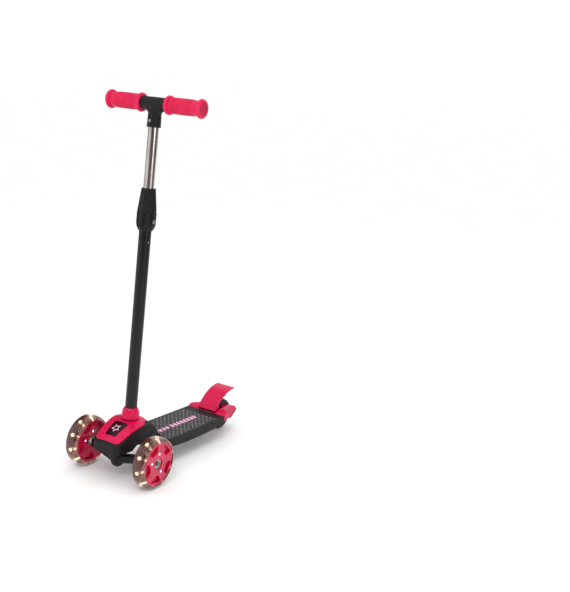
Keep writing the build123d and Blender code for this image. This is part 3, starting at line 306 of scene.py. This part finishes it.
softEdges = {
    # node: edge radius in mm
    "deck": 1.2, "nose_cover": 1.0, "stem_collar": 0.6, "rear_cover": 1.0, "rear_fork": 0.6, "truck": 0.8,
    "brake_fender": 0.8, "height_nut": 0.9, "height_collar": 0.7, "handlebar_tee": 0.8, "badge_panel": 0.25,
    "badge_emblem": 0.12, "front_rim_left": 0.5, "front_rim_right": 0.5, "rear_rim": 0.4,
}


rounding = {"mergeMm": 0.01, "flatDegrees": 0.6, "cornerDegrees": 28, "segments": 3}


def softenEdges(nodeName, radiusMm):
    # copy of a CAD node with its hard corners rounded, as a moulding has them
    source = cadNodes[nodeName].data
    shell = bmesh.new()
    shell.from_mesh(source)
    bmesh.ops.remove_doubles(shell, verts=shell.verts, dist=rounding["mergeMm"] * mm)
    flat = math.radians(rounding["flatDegrees"])
    bmesh.ops.dissolve_limit(shell, angle_limit=flat, verts=shell.verts, edges=shell.edges)
    mesh = bpy.data.meshes.new(nodeName + "Soft")
    shell.to_mesh(mesh)
    shell.free()
    mesh.materials.clear()
    mesh.materials.append(finishes[slotOfNode[nodeName]])
    mesh.shade_smooth()
    piece = toScene(mesh, nodeName + "Soft", bodyOfNode[nodeName])
    bevel = piece.modifiers.new("rounding", "BEVEL")
    bevel.width = radiusMm * mm
    bevel.segments = rounding["segments"]
    bevel.limit_method = "ANGLE"
    bevel.angle_limit = math.radians(rounding["cornerDegrees"])
    bevel.use_clamp_overlap = True
    bevel.miter_outer = "MITER_ARC"
    evening = piece.modifiers.new("evenNormals", "WEIGHTED_NORMAL")
    evening.keep_sharp = False
    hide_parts(nodeName)


def newTree(name, inputs):
    # geometry tree with named inputs and a geometry output
    tree = bpy.data.node_groups.new(name, "GeometryNodeTree")
    tree.interface.new_socket("Geometry", in_out="OUTPUT", socket_type="NodeSocketGeometry")
    identifiers = {}
    for label, kind in inputs:
        socket = tree.interface.new_socket(label, in_out="INPUT", socket_type=kind)
        identifiers[label] = socket.identifier
    return tree, identifiers


def runTree(tree, identifiers, values, name, body):
    # the tree's result as a plain mesh on one body
    carrier = bpy.data.objects.new(name + "Carrier", bpy.data.meshes.new(name + "Carrier"))
    bpy.context.scene.collection.objects.link(carrier)
    modifier = carrier.modifiers.new("make", "NODES")
    modifier.node_group = tree
    for label, value in values.items():
        modifier[identifiers[label]] = value
    carrier.update_tag()
    bpy.context.view_layer.update()
    result = bpy.data.meshes.new_from_object(carrier.evaluated_get(bpy.context.evaluated_depsgraph_get()))
    result.name = name
    carrier.modifiers.remove(modifier)
    bpy.data.objects.remove(carrier)
    return toScene(result, name, body)


lattice = {
    "pitchAcross": 12.5, "pitchAlong": 15.5, "ridgeRadius": 0.95, "ridgeSides": 8,
    "startBehind": -8.0,     # from the front of the standing surface
    "endBefore": 34.0,       # from the rear end of the deck
    "sideMargin": 9.0,
}
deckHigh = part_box("deck")[1]
frontAxle = sum(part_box("front_axle_bolts"), Vector()) / 2
deckTree = BVHTree.FromObject(cadNodes["deck"], bpy.context.evaluated_depsgraph_get())
surfaceFront = frontAxle.y + 130 * mm      # where the standing surface starts
aboveDeck = 0.3                            # height that rays are dropped from, in metres
latticeFront = surfaceFront + lattice["startBehind"] * mm
latticeRear = deckHigh.y - lattice["endBefore"] * mm
latticeHalf = deckHigh.x - lattice["sideMargin"] * mm


def deckPoint(x, y):
    # place on the standing surface straight below this point
    return deckTree.ray_cast(Vector((x, y, aboveDeck)), Vector((0, 0, -1)))[0]


def buildLatticeTree():
    # X-shaped crossings on two staggered grids, dropped on to the deck: together they make diamonds
    tree, identifiers = newTree("deckLattice", [
        ("Deck", "NodeSocketObject"), ("Middle", "NodeSocketVector"), ("Width", "NodeSocketFloat"),
        ("Length", "NodeSocketFloat"), ("Columns", "NodeSocketInt"), ("Rows", "NodeSocketInt"),
        ("Pitch Across", "NodeSocketFloat"), ("Pitch Along", "NodeSocketFloat"),
        ("Ridge Radius", "NodeSocketFloat"), ("Ridge Length", "NodeSocketFloat"),
        ("Ridge Angle", "NodeSocketFloat"), ("Finish", "NodeSocketMaterial")])
    source = addNode(tree, "NodeGroupInput").outputs
    crossings = addNode(tree, "GeometryNodeJoinGeometry")
    for shortBy in (0, 1):
        less = [addNode(tree, "ShaderNodeMath", {0: source[size], 1: source[pitch] if shortBy else 0.0},
                        operation="SUBTRACT").outputs[0]
                for size, pitch in (("Width", "Pitch Across"), ("Length", "Pitch Along"))]
        counts = [addNode(tree, "FunctionNodeIntegerMath", {0: source[count], 1: shortBy},
                          operation="SUBTRACT").outputs[0] for count in ("Columns", "Rows")]
        grid = addNode(tree, "GeometryNodeMeshGrid", {
            "Size X": less[0], "Size Y": less[1], "Vertices X": counts[0], "Vertices Y": counts[1]})
        moved = addNode(tree, "GeometryNodeTransform", {
            "Geometry": grid.outputs["Mesh"], "Translation": source["Middle"]})
        tree.links.new(moved.outputs["Geometry"], crossings.inputs["Geometry"])
    deckShape = addNode(tree, "GeometryNodeObjectInfo", {"Object": source["Deck"]}, transform_space="ORIGINAL")
    drop = addNode(tree, "GeometryNodeRaycast", {
        "Target Geometry": deckShape.outputs["Geometry"], "Ray Direction": (0.0, 0.0, -1.0),
        "Ray Length": 2 * aboveDeck})
    landed = addNode(tree, "GeometryNodeSetPosition", {
        "Geometry": crossings.outputs["Geometry"], "Position": drop.outputs["Hit Position"]})
    rod = addNode(tree, "GeometryNodeMeshCylinder", {
        "Vertices": lattice["ridgeSides"], "Radius": source["Ridge Radius"], "Depth": source["Ridge Length"]})
    flat = addNode(tree, "GeometryNodeTransform", {
        "Geometry": rod.outputs["Mesh"], "Rotation": (math.pi / 2, 0.0, 0.0)})
    cross = addNode(tree, "GeometryNodeJoinGeometry")
    for side in (-1.0, 1.0):
        angle = addNode(tree, "ShaderNodeMath", {0: source["Ridge Angle"], 1: side}, operation="MULTIPLY")
        spin = addNode(tree, "ShaderNodeCombineXYZ", {"Z": angle.outputs[0]})
        arm = addNode(tree, "GeometryNodeTransform", {
            "Geometry": flat.outputs["Geometry"], "Rotation": spin.outputs["Vector"]})
        tree.links.new(arm.outputs["Geometry"], cross.inputs["Geometry"])
    placed = addNode(tree, "GeometryNodeInstanceOnPoints", {
        "Points": landed.outputs["Geometry"], "Instance": cross.outputs["Geometry"]})
    real = addNode(tree, "GeometryNodeRealizeInstances", {"Geometry": placed.outputs["Instances"]})
    painted = addNode(tree, "GeometryNodeSetMaterial", {
        "Geometry": real.outputs["Geometry"], "Material": source["Finish"]})
    addNode(tree, "NodeGroupOutput", {"Geometry": painted.outputs["Geometry"]})
    return tree, identifiers


columns = int(2 * latticeHalf / (lattice["pitchAcross"] * mm)) + 1
rows = int((latticeRear - latticeFront) / (lattice["pitchAlong"] * mm)) + 1
latticeWidth = (columns - 1) * lattice["pitchAcross"] * mm
latticeLength = (rows - 1) * lattice["pitchAlong"] * mm
halfSteps = Vector((lattice["pitchAcross"], lattice["pitchAlong"])) * mm / 2
latticeTree, latticeInputs = buildLatticeTree()
deckLattice = runTree(latticeTree, latticeInputs, {
    "Deck": cadNodes["deck"], "Middle": (0.0, (latticeFront + latticeRear) / 2, aboveDeck),
    "Width": latticeWidth,
    "Length": latticeLength, "Columns": columns, "Rows": rows, "Pitch Across": lattice["pitchAcross"] * mm,
    "Pitch Along": lattice["pitchAlong"] * mm, "Ridge Radius": lattice["ridgeRadius"] * mm,
    "Ridge Length": halfSteps.length, "Ridge Angle": math.atan2(halfSteps.x, halfSteps.y),
    "Finish": finishes["deck_grip"]}, "deckLattice", "deck")
deckLattice.data.shade_smooth()
print("deck lattice:", columns, "by", rows, "crossings,", len(deckLattice.data.polygons), "faces")


# printed stripe along the deck: plain slanted bars in two groups

stripes = {
    "firstBehind": -4.5, "acrossMiddle": 6.0, "slant": 4.0, "thick": 0.25, "sunk": 0.2,
    "groups": (
        # bars, half width across, length along and gap of each group, front to back
        {"bars": 4, "half": 6.0, "length": 9.5, "gap": 4.0},
        {"bars": 8, "half": 7.5, "length": 8.5, "gap": 4.5},
    ),
    "pause": 6.0,
}


def makeStripes():
    shape = bmesh.new()
    near = surfaceFront + stripes["firstBehind"] * mm
    for group in stripes["groups"]:
        for bar in range(group["bars"]):
            corners = []
            for across, along in ((-1, 0), (1, 0), (1, 1), (-1, 1)):
                x = (stripes["acrossMiddle"] + across * group["half"]) * mm
                y = near + (along * group["length"] - across * stripes["slant"] / 2) * mm
                corners.append((x, y, deckPoint(x, y).z + lattice["ridgeRadius"] * mm))
            low = [shape.verts.new((x, y, z - stripes["sunk"] * mm)) for x, y, z in corners]
            high = [shape.verts.new((x, y, z + stripes["thick"] * mm)) for x, y, z in corners]
            shape.faces.new(high)
            shape.faces.new(low[::-1])
            for i in range(4):
                shape.faces.new((low[i], low[(i + 1) % 4], high[(i + 1) % 4], high[i]))
            near += (group["length"] + group["gap"]) * mm
        near += stripes["pause"] * mm
    mesh = bpy.data.meshes.new("deckStripes")
    shape.to_mesh(mesh)
    shape.free()
    mesh.materials.append(finishes["deck_print"])
    toScene(mesh, "deckStripes", "deck")


makeStripes()
print("deck stripes:", sum(group["bars"] for group in stripes["groups"]))


# ribs round the grips

def buildRingTree():
    # evenly spaced rings about a line along X, with a crowned radius
    tree, identifiers = newTree("rings", [
        ("Start", "NodeSocketVector"), ("Step", "NodeSocketVector"), ("Count", "NodeSocketInt"),
        ("Radius", "NodeSocketFloat"), ("Crown", "NodeSocketFloat"), ("Rib Share", "NodeSocketFloat"),
        ("Around", "NodeSocketInt"), ("Finish", "NodeSocketMaterial")])
    source = addNode(tree, "NodeGroupInput").outputs
    line = addNode(tree, "GeometryNodeMeshLine", {
        "Count": source["Count"], "Start Location": source["Start"], "Offset": source["Step"]})
    ring = addNode(tree, "GeometryNodeCurvePrimitiveCircle", {"Resolution": source["Around"], "Radius": 1.0})
    section = addNode(tree, "GeometryNodeCurvePrimitiveCircle", {
        "Resolution": 8, "Radius": source["Rib Share"]})
    rib = addNode(tree, "GeometryNodeCurveToMesh", {
        "Curve": ring.outputs["Curve"], "Profile Curve": section.outputs["Curve"]})
    upright = addNode(tree, "GeometryNodeTransform", {
        "Geometry": rib.outputs["Mesh"], "Rotation": (0.0, math.pi / 2, 0.0)})
    index = addNode(tree, "GeometryNodeInputIndex").outputs["Index"]
    last = addNode(tree, "ShaderNodeMath", {0: source["Count"], 1: 1.0}, operation="SUBTRACT").outputs[0]
    safeLast = addNode(tree, "ShaderNodeMath", {0: last, 1: 1.0}, operation="MAXIMUM").outputs[0]
    share = addNode(tree, "ShaderNodeMath", {0: index, 1: safeLast}, operation="DIVIDE").outputs[0]
    centred = addNode(tree, "ShaderNodeMath", {0: share, 1: 2.0, 2: -1.0}, operation="MULTIPLY_ADD").outputs[0]
    squared = addNode(tree, "ShaderNodeMath", {0: centred, 1: centred}, operation="MULTIPLY").outputs[0]
    fall = addNode(tree, "ShaderNodeMath", {0: 1.0, 1: squared}, operation="SUBTRACT").outputs[0]
    rise = addNode(tree, "ShaderNodeMath", {0: fall, 1: source["Crown"], 2: source["Radius"]},
                   operation="MULTIPLY_ADD").outputs[0]
    placed = addNode(tree, "GeometryNodeInstanceOnPoints", {
        "Points": line.outputs["Mesh"], "Instance": upright.outputs["Geometry"], "Scale": rise})
    real = addNode(tree, "GeometryNodeRealizeInstances", {"Geometry": placed.outputs["Instances"]})
    painted = addNode(tree, "GeometryNodeSetMaterial", {
        "Geometry": real.outputs["Geometry"], "Material": source["Finish"]})
    addNode(tree, "NodeGroupOutput", {"Geometry": painted.outputs["Geometry"]})
    return tree, identifiers


ringTree, ringInputs = buildRingTree()
gripRibs = {"from": 53.0, "to": 106.0, "count": 15, "radius": 16.75, "crown": 0.35, "ribRadius": 1.05}
barMiddle = sum(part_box("handlebar_tube"), Vector()) / 2
for side, word in ((1, "Left"), (-1, "Right")):
    stepAcross = side * (gripRibs["to"] - gripRibs["from"]) / (gripRibs["count"] - 1) * mm
    ribs = runTree(ringTree, ringInputs, {
        "Start": tuple(barMiddle + Vector((side * gripRibs["from"] * mm, 0, 0))),
        "Step": (stepAcross, 0.0, 0.0),
        "Count": gripRibs["count"], "Radius": gripRibs["radius"] * mm, "Crown": gripRibs["crown"] * mm,
        "Rib Share": gripRibs["ribRadius"] / gripRibs["radius"], "Around": 64, "Finish": finishes["pink_grip"],
    }, "gripRibs" + word, "handlebar")
    ribs.data.shade_smooth()
print("grip ribs:", gripRibs["count"], "on each side")


# glow: each tread lamp lights a lens-shaped patch inside the clear tyre

lampGlow = {"count": 10, "belowTread": 4.2, "across": 4.4, "deep": 1.8, "phase": -9.0}


def buildGlowTree():
    # ring of flattened balls about a line along X, each facing outward
    tree, identifiers = newTree("lampGlow", [
        ("Centre", "NodeSocketVector"), ("Count", "NodeSocketInt"), ("Radius", "NodeSocketFloat"),
        ("Lens", "NodeSocketVector"), ("Phase", "NodeSocketVector"), ("Finish", "NodeSocketMaterial")])
    source = addNode(tree, "NodeGroupInput").outputs
    ring = addNode(tree, "GeometryNodeMeshCircle", {"Vertices": source["Count"], "Radius": source["Radius"]})
    outward = addNode(tree, "GeometryNodeInputPosition").outputs["Position"]
    facing = addNode(tree, "FunctionNodeAlignRotationToVector", {"Vector": outward}, axis="Z")
    ball = addNode(tree, "GeometryNodeMeshUVSphere", {"Segments": 24, "Rings": 12, "Radius": 1.0})
    placed = addNode(tree, "GeometryNodeInstanceOnPoints", {
        "Points": ring.outputs["Mesh"], "Instance": ball.outputs["Mesh"],
        "Rotation": facing.outputs["Rotation"], "Scale": source["Lens"]})
    real = addNode(tree, "GeometryNodeRealizeInstances", {"Geometry": placed.outputs["Instances"]})
    upright = addNode(tree, "GeometryNodeTransform", {
        "Geometry": real.outputs["Geometry"], "Rotation": (0.0, -math.pi / 2, 0.0)})
    turned = addNode(tree, "GeometryNodeTransform", {
        "Geometry": upright.outputs["Geometry"], "Rotation": source["Phase"], "Translation": source["Centre"]})
    painted = addNode(tree, "GeometryNodeSetMaterial", {
        "Geometry": turned.outputs["Geometry"], "Material": source["Finish"]})
    addNode(tree, "NodeGroupOutput", {"Geometry": painted.outputs["Geometry"]})
    return tree, identifiers


glowTree, glowInputs = buildGlowTree()
for word in ("left", "right"):
    tyreLow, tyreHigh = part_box("front_tyre_" + word)
    glow = runTree(glowTree, glowInputs, {
        "Centre": tuple((tyreLow + tyreHigh) / 2), "Count": lampGlow["count"],
        "Radius": (tyreHigh.z - tyreLow.z) / 2 - lampGlow["belowTread"] * mm,
        "Lens": tuple(lampGlow[size] * mm for size in ("across", "across", "deep")),
        "Phase": (math.radians(lampGlow["phase"]), 0.0, 0.0), "Finish": finishes["lamp"],
    }, "lampGlow" + word.title(), bodyOfNode["front_tyre_" + word])
    glow.data.shade_smooth()
print("lamp glows:", lampGlow["count"], "in each tyre")


for nodeName, radiusMm in softEdges.items():
    softenEdges(nodeName, radiusMm)
print("moulded edges:", len(softEdges))


# stage: pale floor, dark cards, soft studio light, camera

studio = {"world": "#ffffff", "worldStrength": 1.05, "floorSize": 80.0, "floorDrop": 0.0002}    # metres
bpy.ops.mesh.primitive_plane_add(size=studio["floorSize"], location=(0, 0, -studio["floorDrop"]))
floor = bpy.context.object
floor.name = "paleFloor"
floorMaterial, floorNodes, floorShader, floorPlace = startMaterial(
    "floorPaint", IOR=1.4, Specular_IOR_Level=0.1)
cloudedColour(floorNodes, floorShader, floorPlace, ("#f9f8f8", "#fcfbfb"), 300)
variedRoughness(floorNodes, floorShader, floorPlace, 0.6, 0.75, 60)
floor.data.materials.append(floorMaterial)

world = bpy.data.worlds.new("studioWorld")
bpy.context.scene.world = world
world.use_nodes = True
background = world.node_tree.nodes["Background"]
background.inputs["Color"].default_value = linearFromHex(studio["world"])
background.inputs["Strength"].default_value = studio["worldStrength"]


def addFlag(name, place, target, width, height):
    # dark card off to one side: gives gloss and metal something to reflect, never seen itself
    bpy.ops.mesh.primitive_plane_add(size=1.0, location=place)
    card = bpy.context.object
    card.name = name
    card.scale = (width, height, 1.0)    # a plane of one metre
    card.rotation_euler = (Vector(target) - Vector(place)).to_track_quat("Z", "Y").to_euler()
    card.visible_camera = False
    card.visible_shadow = False
    card.visible_diffuse = False
    card.visible_transmission = False
    card.data.materials.append(flagMaterial)


flagMaterial, flagNodes, flagShader, flagPlace = startMaterial("flagCloth", IOR=1.4, Specular_IOR_Level=0.0)
cloudedColour(flagNodes, flagShader, flagPlace, ("#4a413d", "#5c514c"), 200)
addFlag("flagFront", (1.6, -2.6, 1.6), (0, 0, 0.4), 5.0, 4.0)
addFlag("flagRight", (1.9, 0.9, 0.8), (0, 0, 0.5), 2.2, 2.6)
addFlag("flagLeft", (-1.6, 0.5, 0.8), (0, 0, 0.5), 1.4, 2.6)


def addSoftLight(name, place, target, size, watts):
    lamp = bpy.data.lights.new(name, "AREA")
    lamp.size = size
    lamp.energy = watts
    holder = bpy.data.objects.new(name, lamp)
    holder.location = place
    holder.rotation_euler = (Vector(target) - Vector(place)).to_track_quat("-Z", "Y").to_euler()
    bpy.context.scene.collection.objects.link(holder)


addSoftLight("keyLight", (0.55, -1.5, 1.75), (0, 0, 0.4), 0.6, 9)
addSoftLight("stripLight", (1.7, -0.7, 0.9), (0, 0, 0.5), 0.3, 4)
addSoftLight("topLight", (0.2, 0.3, 2.4), (0, 0, 0.2), 1.6, 3)

view = {
    "back": Vector((1.34226, -1.60173, 0.95728)),    # from the ground below the front axle, in metres
    "azimuth": 30.226, "elevation": 13.546, "roll": 4.794, "lens": 57.87, "sensor": 36,
}
turn, tilt, roll = (math.radians(view[key]) for key in ("azimuth", "elevation", "roll"))
backward = Vector((math.sin(turn) * math.cos(tilt), -math.cos(turn) * math.cos(tilt), math.sin(tilt)))
sideways = Vector((math.cos(turn), math.sin(turn), 0))
upward = backward.cross(sideways)
right = math.cos(roll) * sideways + math.sin(roll) * upward
up = -math.sin(roll) * sideways + math.cos(roll) * upward
cameraData = bpy.data.cameras.new("photoCamera")
cameraData.lens = view["lens"]
cameraData.sensor_width = view["sensor"]
camera = bpy.data.objects.new("photoCamera", cameraData)
bpy.context.scene.collection.objects.link(camera)
place = Vector((0, frontAxle.y, 0)) + view["back"]
camera.matrix_world = Matrix.Translation(place) @ Matrix((right, up, backward)).transposed().to_4x4()
bpy.context.scene.camera = camera
bpy.context.scene.view_settings.view_transform = "Standard"
bpy.context.scene.view_settings.look = "None"
print("camera and lights placed")
